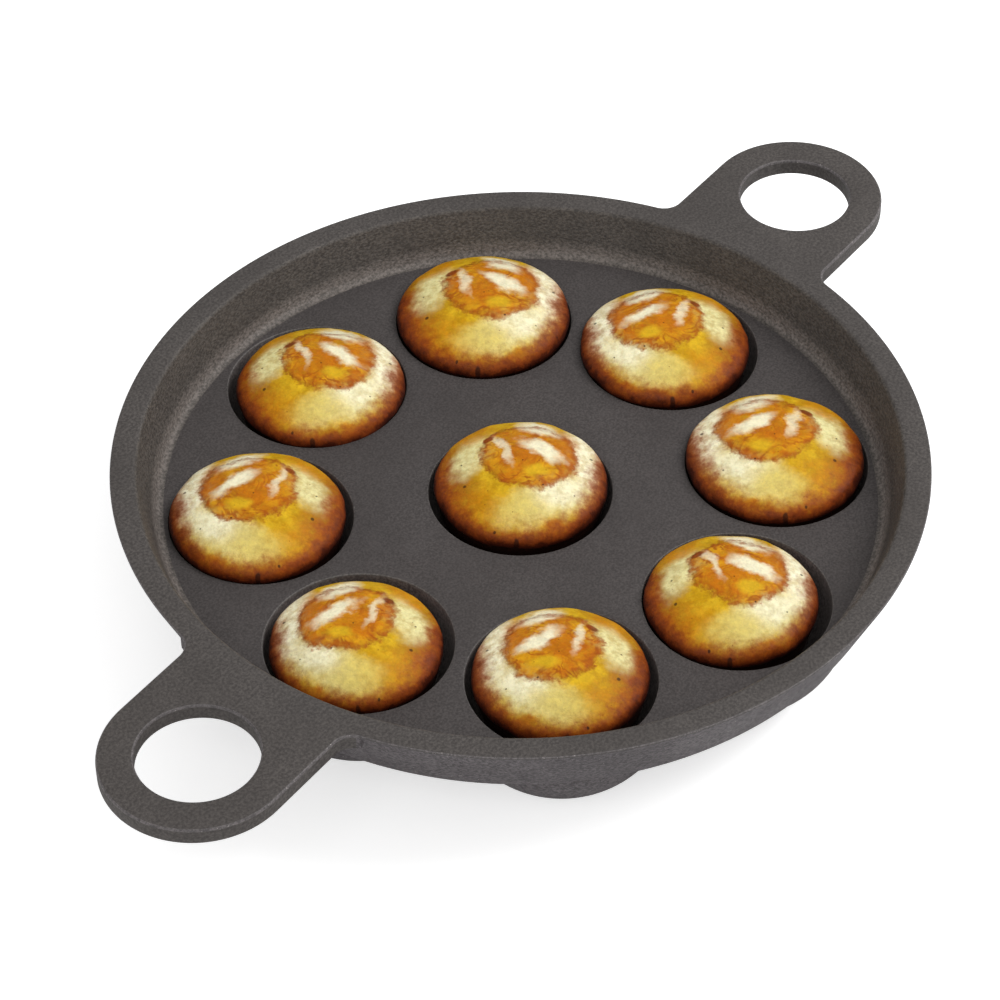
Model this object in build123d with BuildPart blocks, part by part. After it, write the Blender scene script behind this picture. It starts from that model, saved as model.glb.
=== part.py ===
from build123d import *

import os
from math import asin, atan2, cos, degrees, pi, radians, sin, sqrt, tan

# A two-handled cast-iron pan with nine round cups, and the small round cakes that sit in them.
# All lengths are in millimetres. The origin is on the surface that the pan stands on, under the
# middle cup. +Z is up and +X runs through both handles.

# Cups: one in the middle and a ring of equal ones round it
ring_cups = 8
cup_mouth_diameter = 54.3
cup_mouth_round = 0.6
cup_lip_height = 1.2
cup_bowl_depth = 24.0
cup_floor_radius = 10.0
cup_floor_thickness = 4.05
cup_wall_thickness = 6.0
web_between_mouths = 3.4

# Plate, the flat floor of the pan that the cups open in
plate_depth = 15.75
plate_thickness = 4.75
flat_beside_mouths = 0.1

# Rim wall, which leans outwards and ends in a flat land
wall_foot_round = 3.0
wall_inner_lean = 18.0
wall_outer_lean = 22.9
rim_land_width = 7.9
rim_land_round = 1.0

# Handles, two flat loops level with the rim's land
handle_hole_diameter = 34.4
handle_hole_reach = 26.0
handle_ring_width = 10.2
handle_thickness = 5.6
handle_root_round = 6.0
handle_hole_round = 0.8

# Cakes: each is a little smaller than its cup and has settled against one side of it
cake_seat_gap = 0.3
cake_largest_slack = 3.0
cake_crown_height = 12.0
cake_shoulder_round = 5.5

# One overrun serves every cut
overrun = 2.0

# For each cake, the middle one first and then the ring's: how much of the largest slack it has,
# how far it has drifted in its cup as a share of the room there, and which way, in degrees
cake_slack_shares = (0.62, 0.48, 0.22, 0.62, 0.52, 0.88, 0.82, 0.82, 0.35)
cake_drift_shares = (0.95, 0.95, 0.90, 0.95, 0.75, 0.80, 0.60, 0.77, 0.70)
cake_drift_angles = (33.0, 127.0, 46.0, 259.0, 158.0, 190.0, 50.0, 127.0, 70.0)

# Heights, from the surface that the pan stands on
cup_floor_top = cup_floor_thickness
bowl_centre_height = cup_floor_top + cup_bowl_depth
plate_top = bowl_centre_height + cup_lip_height
plate_bottom = plate_top - plate_thickness
wall_seam = plate_top + wall_foot_round
rim_top = plate_top + plate_depth

# The bowl's section is an arc that leaves the lip upright and meets the edge of the flat floor
cup_mouth_radius = cup_mouth_diameter / 2
bowl_run = cup_mouth_radius - cup_floor_radius
bowl_arc_radius = (bowl_run ** 2 + cup_bowl_depth ** 2) / (2 * bowl_run)
bowl_arc_centre = cup_mouth_radius - bowl_arc_radius

# The ring of cups is as tight as the webs allow, and the wall's foot stands just outside it
ring_angle = 360 / ring_cups
mouth_spacing = 2 * (cup_mouth_radius + cup_mouth_round) + web_between_mouths
cup_ring_radius = mouth_spacing / (2 * sin(pi / ring_cups))
flat_radius = cup_ring_radius + cup_mouth_radius + cup_mouth_round + flat_beside_mouths
foot_radius = flat_radius + wall_foot_round / tan(radians(45 + wall_inner_lean / 2))
rim_radius = foot_radius + plate_depth * tan(radians(wall_inner_lean)) + rim_land_width

# Handle outline
handle_hole_radius = handle_hole_diameter / 2
handle_end_radius = handle_hole_radius + handle_ring_width
handle_hole_distance = rim_radius + handle_hole_reach


def inner_radius(height):
    """Radius of the wall's inner face at a height."""
    return foot_radius + (height - plate_top) * tan(radians(wall_inner_lean))


def outer_radius(height):
    """Radius of the wall's outer face at a height."""
    return rim_radius - (rim_top - height) * tan(radians(wall_outer_lean))


def ring_place(number):
    """Centre of a cup in the ring; the first is on the side of the right handle."""
    angle = radians((number - 1) * ring_angle)
    return cup_ring_radius * cos(angle), cup_ring_radius * sin(angle)


def save(piece, name):
    """Label a finished piece and write it to its own file."""
    piece.part.label = name
    export_step(piece.part, f"parts/{name}.step")


def make_cup_hollow():
    """The hollow of one cup, from its floor to just above the plate."""
    floor_angle = degrees(atan2(cup_bowl_depth, cup_floor_radius - bowl_arc_centre))
    above = plate_top + overrun
    flare_radius = cup_mouth_radius + cup_mouth_round
    flare_start = plate_top - cup_mouth_round
    with BuildPart() as hollow:
        with BuildSketch(Plane.XZ):
            with BuildLine():
                Line((0, cup_floor_top), (cup_floor_radius, cup_floor_top))
                CenterArc((bowl_arc_centre, bowl_centre_height), bowl_arc_radius, -floor_angle, floor_angle)
                Line((cup_mouth_radius, bowl_centre_height), (cup_mouth_radius, flare_start))
                CenterArc((flare_radius, flare_start), cup_mouth_round, 180, -90)
                Polyline((flare_radius, plate_top), (flare_radius, above), (0, above), (0, cup_floor_top))
            make_face()
        revolve(axis=Axis.Z)
    return hollow


def make_bowl_blank(hollow):
    """One cup's bowl under the plate, round the flat floor and down to its level, not yet placed."""
    shell_radius = bowl_arc_radius + cup_wall_thickness
    below_plate = bowl_centre_height - plate_bottom
    bottom_angle = degrees(asin(bowl_centre_height / shell_radius))
    top_angle = degrees(asin(below_plate / shell_radius))
    with BuildPart() as blank:
        with BuildSketch(Plane.XZ):
            with BuildLine():
                shell = CenterArc((bowl_arc_centre, bowl_centre_height), shell_radius,
                                  -bottom_angle, bottom_angle - top_angle)
                Polyline(shell @ 1, (cup_floor_radius, plate_bottom), (cup_floor_radius, 0), shell @ 0)
            make_face()
        revolve(axis=Axis.Z)
        add(hollow.part, mode=Mode.SUBTRACT)
    return blank


def make_plate(hollow):
    """The plate with its nine mouths, and the rounded foot that turns up into the wall."""
    with BuildPart() as plate:
        with BuildSketch(Plane.XZ) as section:
            with BuildLine():
                Polyline((0, plate_bottom), (outer_radius(plate_bottom), plate_bottom),
                         (outer_radius(wall_seam), wall_seam), (inner_radius(wall_seam), wall_seam),
                         (foot_radius, plate_top), (0, plate_top), close=True)
            make_face()
            fillet(section.vertices().sort_by_distance((foot_radius, plate_top))[0], wall_foot_round)
        revolve(axis=Axis.Z)
        with Locations((0, 0)):
            add(hollow.part, mode=Mode.SUBTRACT)
        with PolarLocations(cup_ring_radius, ring_cups):
            add(hollow.part, mode=Mode.SUBTRACT)
    return plate


def make_wall():
    """The leaning wall above its foot, with the flat land on top."""
    land_inner_radius = rim_radius - rim_land_width
    with BuildPart() as wall:
        with BuildSketch(Plane.XZ) as section:
            with BuildLine():
                Polyline((outer_radius(wall_seam), wall_seam), (rim_radius, rim_top),
                         (land_inner_radius, rim_top), (inner_radius(wall_seam), wall_seam), close=True)
            make_face()
            fillet(section.vertices().sort_by_distance((land_inner_radius, rim_top))[0], rim_land_round)
        revolve(axis=Axis.Z)
    return wall


def sector_planes(number):
    """The two upright planes midway to the neighbours of one place in the ring, facing inwards."""
    planes = []
    for side in (-1, 1):
        edge_angle = radians((number - 1 + side / 2) * ring_angle)
        planes.append(Plane(origin=(0, 0, 0), z_dir=(side * sin(edge_angle), -side * cos(edge_angle), 0)))
    return planes


def web_plane(number, outward):
    """The upright plane across the web between the middle mouth and one mouth of the ring."""
    x, y = ring_place(number)
    return Plane(origin=(x / 2, y / 2, 0), z_dir=(outward * x, outward * y, 0))


def make_plate_field(plate, ring_number=None):
    """The field of the plate round one mouth; fields meet at flat planes midway between mouths."""
    with BuildPart() as field:
        add(plate.part)
        if ring_number is None:
            for number in range(1, ring_cups + 1):
                split(bisect_by=web_plane(number, -1), keep=Keep.TOP)
        else:
            for plane in sector_planes(ring_number) + [web_plane(ring_number, 1)]:
                split(bisect_by=plane, keep=Keep.TOP)
    return field


def make_cup(blank, place, ring_number=None):
    """One cup's bowl, put in its place; bowls in the ring meet at the planes midway between them."""
    with BuildPart() as cup:
        with Locations(place):
            add(blank.part)
        if ring_number is not None:
            for plane in sector_planes(ring_number):
                split(bisect_by=plane, keep=Keep.TOP)
    return cup


def make_cup_floor(place):
    """The flat round floor in the middle of one cup, which its bowl rises from."""
    with BuildPart() as cup_floor:
        with BuildSketch(), Locations(place):
            Circle(cup_floor_radius)
        extrude(amount=cup_floor_thickness)
    return cup_floor


def make_handle(side):
    """One flat loop, level with the rim's land, that ends on the wall's leaning outer face."""
    bottom = rim_top - handle_thickness
    root_y = handle_end_radius + handle_root_round
    root_x = sqrt((rim_radius + handle_root_round) ** 2 - root_y ** 2)
    spread = atan2(root_y, root_x)
    touch_x, touch_y = rim_radius * cos(spread), rim_radius * sin(spread)
    inside_radius = outer_radius(bottom) - overrun
    inside_x, inside_y = inside_radius * cos(spread), inside_radius * sin(spread)
    with BuildPart() as body:
        with BuildSketch(Plane.XZ):
            with BuildLine():
                Polyline((0, bottom - overrun), (outer_radius(bottom - overrun), bottom - overrun),
                         (outer_radius(rim_top + overrun), rim_top + overrun),
                         (0, rim_top + overrun), close=True)
            make_face()
        revolve(axis=Axis.Z)
    with BuildPart() as handle:
        with BuildSketch(Plane.XY.offset(bottom)):
            with BuildLine():
                Line((inside_x, -inside_y), (touch_x, -touch_y))
                lower = RadiusArc((touch_x, -touch_y), (root_x, -handle_end_radius), -handle_root_round)
                Line(lower @ 1, (handle_hole_distance, -handle_end_radius))
                CenterArc((handle_hole_distance, 0), handle_end_radius, -90, 180)
                upper = RadiusArc((root_x, handle_end_radius), (touch_x, touch_y), -handle_root_round)
                Line((handle_hole_distance, handle_end_radius), upper @ 0)
                Polyline(upper @ 1, (inside_x, inside_y), (inside_x, -inside_y))
            make_face()
            with Locations((handle_hole_distance, 0)):
                Circle(handle_hole_radius, mode=Mode.SUBTRACT)
        extrude(amount=handle_thickness)
        add(body.part, mode=Mode.SUBTRACT)
        flat_faces = handle.faces().filter_by(Axis.Z)
        hole_edges = [edge for face in flat_faces for wire in face.inner_wires() for edge in wire.edges()]
        fillet(hole_edges, handle_hole_round)
    if side < 0:
        with BuildPart() as turned:
            with Locations(Rotation(0, 0, 180)):
                add(handle.part)
        return turned
    return handle


def make_cake(cup_place, slack_share, drift_share, drift_angle):
    """One round cake: it follows its cup up to its widest level and has a low rounded crown."""
    slack = slack_share * cake_largest_slack
    side_radius = bowl_arc_radius - cake_seat_gap - slack
    widest_radius = bowl_arc_centre + side_radius
    bottom = cup_floor_top + cake_seat_gap
    sink = max(0, bowl_centre_height - side_radius - bottom)
    widest_height = bowl_centre_height - sink
    rise = widest_height - bottom
    flat = bowl_arc_centre + sqrt(max(0, side_radius ** 2 - rise ** 2))
    bottom_angle = degrees(atan2(rise, flat - bowl_arc_centre))

    drift = drift_share * sqrt(slack ** 2 - sink ** 2)
    x = cup_place[0] + drift * cos(radians(drift_angle))
    y = cup_place[1] + drift * sin(radians(drift_angle))

    shoulder_reach = widest_radius - cake_shoulder_round
    crown_radius = ((shoulder_reach ** 2 + cake_crown_height ** 2 - cake_shoulder_round ** 2)
                    / (2 * (cake_crown_height - cake_shoulder_round)))
    crown_centre = widest_height + cake_crown_height - crown_radius
    lean = degrees(atan2(widest_height - crown_centre, shoulder_reach))
    with BuildPart() as cake:
        with BuildSketch(Plane(origin=(x, y, 0), x_dir=(1, 0, 0), z_dir=(0, -1, 0))):
            with BuildLine():
                Line((0, bottom), (flat, bottom))
                CenterArc((bowl_arc_centre, widest_height), side_radius, -bottom_angle, bottom_angle)
                CenterArc((shoulder_reach, widest_height), cake_shoulder_round, 0, lean)
                crown = CenterArc((0, crown_centre), crown_radius, lean, 90 - lean)
                Line(crown @ 1, (0, bottom))
            make_face()
        revolve(axis=Axis((x, y, 0), (0, 0, 1)))
    return cake


os.makedirs("parts", exist_ok=True)

cup_hollow = make_cup_hollow()
bowl_blank = make_bowl_blank(cup_hollow)
whole_plate = make_plate(cup_hollow)

save(make_wall(), "rim_wall")
save(make_handle(-1), "handle_left")
save(make_handle(1), "handle_right")

cup_places = [(0, 0)] + [ring_place(number) for number in range(1, ring_cups + 1)]
cup_names = ["middle"] + [str(number) for number in range(1, ring_cups + 1)]

for index, (place, name) in enumerate(zip(cup_places, cup_names)):
    save(make_plate_field(whole_plate, index or None), f"plate_{name}")
    save(make_cup(bowl_blank, place, index or None), f"cup_{name}")
    save(make_cup_floor(place), f"cup_floor_{name}")

for index, (place, name) in enumerate(zip(cup_places, cup_names)):
    cake = make_cake(place, cake_slack_shares[index], cake_drift_shares[index], cake_drift_angles[index])
    save(cake, f"cake_{name}")

print(f"rim diameter {2 * rim_radius:.2f}, length {2 * (handle_hole_distance + handle_end_radius):.2f}, "
      f"height {rim_top:.2f}, ring radius {cup_ring_radius:.2f}, hole distance {handle_hole_distance:.2f}")
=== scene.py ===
"""The look of a cast-iron aebleskiver pan and its nine browned cakes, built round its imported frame."""

import logging
import math
from dataclasses import dataclass
from enum import Enum
from typing import Callable, Sequence

import bmesh
import bpy
from mathutils import Matrix, Vector


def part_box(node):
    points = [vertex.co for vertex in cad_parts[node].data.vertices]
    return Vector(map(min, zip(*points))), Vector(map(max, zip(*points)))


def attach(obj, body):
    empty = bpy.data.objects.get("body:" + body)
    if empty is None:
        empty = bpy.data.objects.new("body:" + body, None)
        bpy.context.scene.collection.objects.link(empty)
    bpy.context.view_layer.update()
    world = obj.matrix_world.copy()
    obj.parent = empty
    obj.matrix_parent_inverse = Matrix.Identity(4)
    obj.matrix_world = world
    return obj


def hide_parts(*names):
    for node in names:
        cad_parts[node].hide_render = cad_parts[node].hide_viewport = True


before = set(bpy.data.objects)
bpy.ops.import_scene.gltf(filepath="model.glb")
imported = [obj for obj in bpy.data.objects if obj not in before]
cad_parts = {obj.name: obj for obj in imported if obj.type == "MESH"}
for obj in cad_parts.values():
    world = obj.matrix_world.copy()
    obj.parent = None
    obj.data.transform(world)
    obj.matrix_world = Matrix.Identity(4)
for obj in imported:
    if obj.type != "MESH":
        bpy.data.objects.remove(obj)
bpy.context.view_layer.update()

LOG = logging.getLogger("aebleskiver_pan")
MM = 0.001
RING_CUPS = 8
CUP_NAMES = ("middle",) + tuple(str(number) for number in range(1, RING_CUPS + 1))
DOUBLED = 0.001 * MM
SAME_LEVEL = 0.01 * MM
SAME_CIRCLE = 0.05 * MM
ON_THE_FLAT = (1.0, 1.0, 0.0)

Piece = bpy.types.Object
Socket = bpy.types.NodeSocket
Face = bpy.types.MeshPolygon
EdgeTest = Callable[[bmesh.types.BMEdge], bool]
Point = tuple[float, float]
Colour = tuple[float, float, float]


def srgb(red: int, green: int, blue: int) -> Colour:
    """Turn a screen colour, from 0 to 255, into the linear one that shaders take."""
    parts = (value / 255 for value in (red, green, blue))
    return tuple(part / 12.92 if part <= 0.04045 else ((part + 0.055) / 1.055) ** 2.4 for part in parts)


# Modelling moves


class Closing(Enum):
    """How a turned shape is closed."""

    RING = "the last ring is bridged back to the first"
    SOLID = "each end ring gets a flat disc"


class Bench:
    """Modelling moves that several pieces share, made with Blender's own operators."""

    @staticmethod
    def clear() -> None:
        """Leave edit mode and deselect everything."""
        if bpy.context.mode != "OBJECT":
            bpy.ops.object.mode_set(mode="OBJECT")
        bpy.ops.object.select_all(action="DESELECT")

    @staticmethod
    def pick(piece: Piece) -> None:
        """Select one piece alone and make it the active one.

        Args:
            piece: The piece to select.
        """
        Bench.clear()
        piece.select_set(True)
        bpy.context.view_layer.objects.active = piece

    @staticmethod
    def settle(piece: Piece) -> None:
        """Put a piece's place, turn and scale into its mesh."""
        Bench.pick(piece)
        bpy.ops.object.transform_apply(location=True, rotation=True, scale=True)

    @staticmethod
    def edit(piece: Piece, mode: str = "VERT", action: str = "DESELECT") -> None:
        """Open a piece in edit mode with nothing or everything selected.

        Args:
            piece: The piece to open.
            mode: Kind of selection that follows.
            action: Whether everything is selected or deselected.
        """
        Bench.pick(piece)
        bpy.ops.object.mode_set(mode="EDIT")
        bpy.ops.mesh.select_mode(type=mode)
        bpy.ops.mesh.select_all(action=action)

    @staticmethod
    def tidy(piece: Piece) -> None:
        """Merge doubled points and turn all faces outwards.

        Args:
            piece: The piece to work on.
        """
        Bench.edit(piece, action="SELECT")
        bpy.ops.mesh.remove_doubles(threshold=DOUBLED)
        bpy.ops.mesh.normals_make_consistent(inside=False)
        Bench.clear()

    @staticmethod
    def turn(name: str, profile: Sequence[Point], segments: int, closing: Closing) -> Piece:
        """Turn a profile about the upright axis: a circle is extruded and resized ring by ring.

        Args:
            name: Name of the new piece.
            profile: Radius and height of each ring, in metres.
            segments: Points on each ring.
            closing: How the ends are closed.

        Returns:
            The turned piece, round the origin.
        """
        Bench.clear()
        first_radius, first_height = profile[0]
        bpy.ops.mesh.primitive_circle_add(
            vertices=segments, radius=first_radius, location=(0, 0, first_height))
        piece = bpy.context.object
        piece.name = piece.data.name = name
        Bench.settle(piece)
        Bench.edit(piece, "EDGE", "SELECT")
        for (radius, height), (next_radius, next_height) in zip(profile, profile[1:]):
            bpy.ops.mesh.extrude_edges_move(TRANSFORM_OT_translate={"value": (0, 0, next_height - height)})
            share = next_radius / radius
            bpy.ops.transform.resize(value=(share, share, 1), center_override=(0, 0, next_height))
        bpy.ops.mesh.select_all(action="DESELECT")
        bpy.ops.mesh.select_non_manifold()
        if closing is Closing.RING:
            bpy.ops.mesh.bridge_edge_loops()
        else:
            bpy.ops.mesh.fill_holes(sides=0)
        Bench.tidy(piece)
        return piece

    @staticmethod
    def copy(piece: Piece, name: str, move: Vector = Vector(), turn: float = 0) -> Piece:
        """Copy a piece with a mesh of its own.

        Args:
            piece: The piece to copy.
            name: Name of the copy.
            move: How far the copy is moved.
            turn: How far the copy is turned about the upright axis, in radians.

        Returns:
            The copy, with its place in its mesh.
        """
        Bench.pick(piece)
        bpy.ops.object.duplicate(linked=False)
        twin = bpy.context.object
        twin.name = twin.data.name = name
        twin.rotation_euler = (0, 0, turn)
        twin.location = move
        Bench.settle(twin)
        return twin

    @staticmethod
    def combine(target: Piece, tool: Piece, operation: str) -> None:
        """Join a tool shape to a target, or cut it out of the target, and throw the tool away.

        Args:
            target: The piece that stays.
            tool: The shape that is joined or cut out.
            operation: Blender's word for what is done.
        """
        modifier = target.modifiers.new(operation.lower(), "BOOLEAN")
        modifier.operation = operation
        modifier.solver = "EXACT"
        modifier.object = tool
        Bench.pick(target)
        bpy.ops.object.modifier_apply(modifier=modifier.name)
        bpy.data.objects.remove(tool)

    @staticmethod
    def round_edges(piece: Piece, chosen: EdgeTest, radius: float, segments: int = 4) -> int:
        """Round the edges that a test chooses.

        Args:
            piece: The piece to work on.
            chosen: Says of each edge whether it's rounded.
            radius: Width of the rounding, in metres.
            segments: Faces across it.

        Returns:
            How many edges were rounded.
        """
        Bench.edit(piece, "EDGE")
        mesh = bmesh.from_edit_mesh(piece.data)
        count = 0
        for edge in mesh.edges:
            if edge.is_manifold and chosen(edge):
                edge.select = True
                count += 1
        bmesh.update_edit_mesh(piece.data)
        bpy.ops.mesh.bevel(offset=radius, segments=segments, profile=0.5, clamp_overlap=False)
        Bench.clear()
        return count

    @staticmethod
    def shade(piece: Piece, angle: float = 32) -> None:
        """Shade smooth, and keep edges sharper than the angle, in degrees."""
        Bench.pick(piece)
        bpy.ops.object.shade_smooth_by_angle(angle=math.radians(angle))


def arc(centre: Point, radius: float, start: float, end: float, steps: int) -> list[Point]:
    """Points along an arc, from one angle to another in degrees, in equal steps with both ends included."""
    angles = (math.radians(start + (end - start) * step / steps) for step in range(steps + 1))
    return [(centre[0] + radius * math.cos(angle), centre[1] + radius * math.sin(angle)) for angle in angles]


def on_circles(level: float, radius: float, centres: Sequence[Vector] = (Vector(),)) -> EdgeTest:
    """Make a test for edges on level circles, from their height, radius and centres.

    Args:
        level: Height of the circles.
        radius: Their radius.
        centres: Their centres, of which only the place seen from above counts.

    Returns:
        The test, which says of an edge whether both its ends lie on one of the circles.
    """
    def on_one(place: Vector) -> bool:
        """Whether a place lies on one of the circles."""
        misses = (abs((place - centre).xy.length - radius) for centre in centres)
        return abs(place.z - level) < SAME_LEVEL and min(misses) < SAME_CIRCLE

    return lambda edge: all(on_one(point.co) for point in edge.verts)


# Material nodes


class NodeBoard:
    """One material's node tree, with short ways to add nodes and wire them."""

    def __init__(self, name: str) -> None:
        """Start a material with its surface shader and its Object coordinates.

        Args:
            name: Name of the material.
        """
        self.material = bpy.data.materials.new(name)
        self.material.use_nodes = True
        self.tree = self.material.node_tree
        self.tree.nodes.clear()
        self.output = self.tree.nodes.new("ShaderNodeOutputMaterial")
        self.shader = self.tree.nodes.new("ShaderNodeBsdfPrincipled")
        self.wire(self.shader.outputs[0], self.output.inputs["Surface"])
        self.place = self.tree.nodes.new("ShaderNodeTexCoord").outputs["Object"]

    def wire(self, source: Socket, target: Socket) -> None:
        """Join two sockets."""
        self.tree.links.new(source, target)

    def feed(self, target: Socket, value: object) -> None:
        """Wire a socket to a target, or set the target to a number or colour.

        Args:
            target: The socket that is fed.
            value: A socket, a number or a colour.
        """
        if isinstance(value, Socket):
            self.wire(value, target)
        elif isinstance(value, tuple) and len(value) == 3 and target.type == "RGBA":
            target.default_value = (*value, 1)
        else:
            target.default_value = value

    def node(self, kind: str, inputs: dict[object, object], **settings: object) -> bpy.types.NodeOutputs:
        """Add a node.

        Args:
            kind: Kind of the node, without the words that all of them start with.
            inputs: What goes into its inputs, by their names or numbers.
            settings: Its other settings, which are made first.

        Returns:
            Its outputs.
        """
        node = self.tree.nodes.new("ShaderNode" + kind)
        for name, value in settings.items():
            setattr(node, name, value)
        for name, value in inputs.items():
            self.feed(node.inputs[name], value)
        return node.outputs

    def surface(self, values: dict[str, object]) -> None:
        """Feed the surface shader's inputs, by name."""
        for name, value in values.items():
            self.feed(self.shader.inputs[name], value)

    def math(self, operation: str, first: object, second: object = 0.0) -> Socket:
        """Add one sum of numbers."""
        return self.node("Math", {0: first, 1: second}, operation=operation)[0]

    def times(self, first: object, second: object) -> Socket:
        """Multiply two numbers."""
        return self.math("MULTIPLY", first, second)

    def plus(self, first: object, second: object) -> Socket:
        """Add two numbers."""
        return self.math("ADD", first, second)

    def centred(self, pattern: Socket, width: float) -> Socket:
        """Turn a pattern from 0 to 1 into one about 0, as wide as said."""
        return self.times(self.math("SUBTRACT", pattern, 0.5), width)

    def vector(self, operation: str, first: object, second: object = (0.0, 0.0, 0.0)) -> Socket:
        """Add one sum of vectors."""
        outputs = self.node("VectorMath", {0: first, 1: second}, operation=operation)
        return outputs["Value" if operation == "LENGTH" else "Vector"]

    def parts(self, place: Socket) -> bpy.types.NodeOutputs:
        """Split a place into its X, Y and Z."""
        return self.node("SeparateXYZ", {0: place})

    def framed(self, where: Socket, centre: object, turn: float, size: object) -> Socket:
        """Give a place as seen in a frame with its own centre, turn in radians and units of length."""
        inputs = {"Vector": where, "Location": centre, "Rotation": (0, 0, turn), "Scale": size}
        return self.node("Mapping", inputs, vector_type="TEXTURE")["Vector"]

    def noise(self, where: Socket, scale: float, detail: float = 3, roughness: float = 0.55,
              bend: float = 0, colour: bool = False) -> Socket:
        """Add a noise pattern, which can be bent, and can give its three-part output."""
        inputs = {"Vector": where, "Scale": scale, "Detail": detail, "Roughness": roughness,
                  "Distortion": bend}
        return self.node("TexNoise", inputs)["Color" if colour else "Fac"]

    def cells(self, where: Socket, scale: float, smooth: bool = False) -> Socket:
        """Add a pattern of cells, and give the distance to each cell's middle."""
        feature = "SMOOTH_F1" if smooth else "F1"
        return self.node("TexVoronoi", {"Vector": where, "Scale": scale}, feature=feature)["Distance"]

    def fade(self, value: Socket, low: float, high: float, out_low: float = 0, out_high: float = 1) -> Socket:
        """Add a smooth step: as the value goes from low to high, it goes from out_low to out_high."""
        inputs = {"Value": value, "From Min": low, "From Max": high, "To Min": out_low, "To Max": out_high}
        return self.node("MapRange", inputs, interpolation_type="SMOOTHSTEP")["Result"]

    def mix(self, share: object, first: object, second: object, blend: str = "MIX") -> Socket:
        """Mix two colours by a share; sockets 6, 7 and 2 are the node's colours."""
        inputs = {"Factor": share, 6: first, 7: second}
        return self.node("Mix", inputs, data_type="RGBA", blend_type=blend, clamp_factor=True)[2]

    def grey(self, value: Socket) -> Socket:
        """Turn a number into a grey of that brightness."""
        return self.node("CombineColor", {"Red": value, "Green": value, "Blue": value})["Color"]

    def bump(self, height: Socket, depth: float, strength: float, normal: object = None) -> Socket:
        """Add a bump.

        Args:
            height: Socket with the height.
            depth: Height of the bump, in metres.
            strength: How strongly it shows.
            normal: Normal that it's laid on, if any.

        Returns:
            The bumped normal.
        """
        inputs = {"Height": height, "Distance": depth, "Strength": strength}
        if normal is not None:
            inputs["Normal"] = normal
        return self.node("Bump", inputs)["Normal"]


class Paint:
    """A colour that is built up coat by coat."""

    def __init__(self, board: NodeBoard, ground: Socket) -> None:
        """Start with the ground colour."""
        self.board = board
        self.tone = ground

    def coat(self, colour: object, share: object, strength: object = None) -> None:
        """Cover a share of what is there with a colour, weakened by the strength if there is one."""
        cover = share if strength is None else self.board.times(share, strength)
        self.tone = self.board.mix(cover, self.tone, colour)


# Finishes


# The heights over the plate between which the painted highlight band at the wall's foot fades in and out
BAND_FADES = ((-0.25 * MM, 0.65 * MM), (5.95 * MM, 2.55 * MM))
BAND_WANDER = 2.0 * MM


@dataclass(frozen=True)
class SandCastIron:
    """Sand-cast iron: a pebbly, slightly mottled skin, with painted glints."""

    name: str  # Name of the finish
    dark: Colour  # Colour in the pits
    light: Colour  # Colour on the grains
    glint: Colour  # Colour of the painted glints, sparse bright specks on the grain
    grain_size: float  # Width of a grain, in metres
    relief: float  # Height of the grain, in metres
    roughness: float  # Roughness of the skin
    glints: float  # Share of the skin under painted glints, from 0 to 1
    sheen_level: float  # Specular level of the skin
    flatten: float = 1.0  # How much finer the grain is upwards than sideways
    painted_foot_highlight: bool = False  # Whether the skin is paler in a band over the wall's foot: a painted highlight

    def make(self) -> bpy.types.Material:
        """Build the material.

        Returns:
            The material.
        """
        board = NodeBoard(self.name)
        fade, noise, times, plus = board.fade, board.noise, board.times, board.plus
        where = board.vector("MULTIPLY", board.place, (1.0, 1.0, self.flatten))
        grain = noise(where, 1 / self.grain_size, detail=4, roughness=0.62)
        pebbles = board.cells(where, 0.8 / self.grain_size, smooth=True)
        clouds = noise(board.place, 38, detail=4, roughness=0.6)
        streaks = noise(board.place, 130, detail=3)

        paint = Paint(board, board.mix(fade(grain, 0.34, 0.68), self.dark, self.light))
        coat = paint.coat
        coat(self.dark, fade(clouds, 0.35, 0.68, 0, 0.35))
        coat(self.light, fade(streaks, 0.52, 0.72, 0, 0.22))
        # Painted highlight: a pale band over the wall's foot, where the foot round catches light
        if self.painted_foot_highlight:
            plate_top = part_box("plate_middle")[1].z
            level = plus(board.parts(board.place)["Z"], board.centred(clouds, BAND_WANDER))
            edges = (fade(level, plate_top + first, plate_top + last) for first, last in BAND_FADES)
            pale = board.mix(fade(grain, 0.30, 0.72), self.light, self.glint)
            coat(pale, times(*edges), 0.50)
        # Painted glints: sparse specks of the glint colour stand in for light caught by the grain
        elsewhere = board.vector("ADD", board.place, (0.031, 0.017, 0.023))
        painted_glints = noise(elsewhere, 1.7 / self.grain_size, detail=2)
        coat(self.glint, fade(painted_glints, 0.80 - self.glints, 0.86 - self.glints))

        height = plus(grain, times(pebbles, 0.5))
        skin = board.bump(height, self.relief, 0.85)
        waves = noise(board.place, 85, detail=2)
        board.surface({
            "Base Color": paint.tone,
            "Roughness": fade(clouds, 0.3, 0.7, self.roughness - 0.06, self.roughness + 0.07),
            "Specular IOR Level": self.sheen_level,
            "Normal": board.bump(waves, 0.45 * MM, 0.5, skin),
        })
        return board.material


# One seasoned iron in several tones, chosen face by face: the lighter tones of the edges, mouth lips, bowls
# and outer faces are painted light
IRON_LAND = SandCastIron(
    "iron_land", srgb(60, 56, 54), srgb(88, 83, 80), srgb(124, 118, 114),
    grain_size=0.85 * MM, relief=0.14 * MM, roughness=0.60, glints=0.03, sheen_level=0.30)
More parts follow.
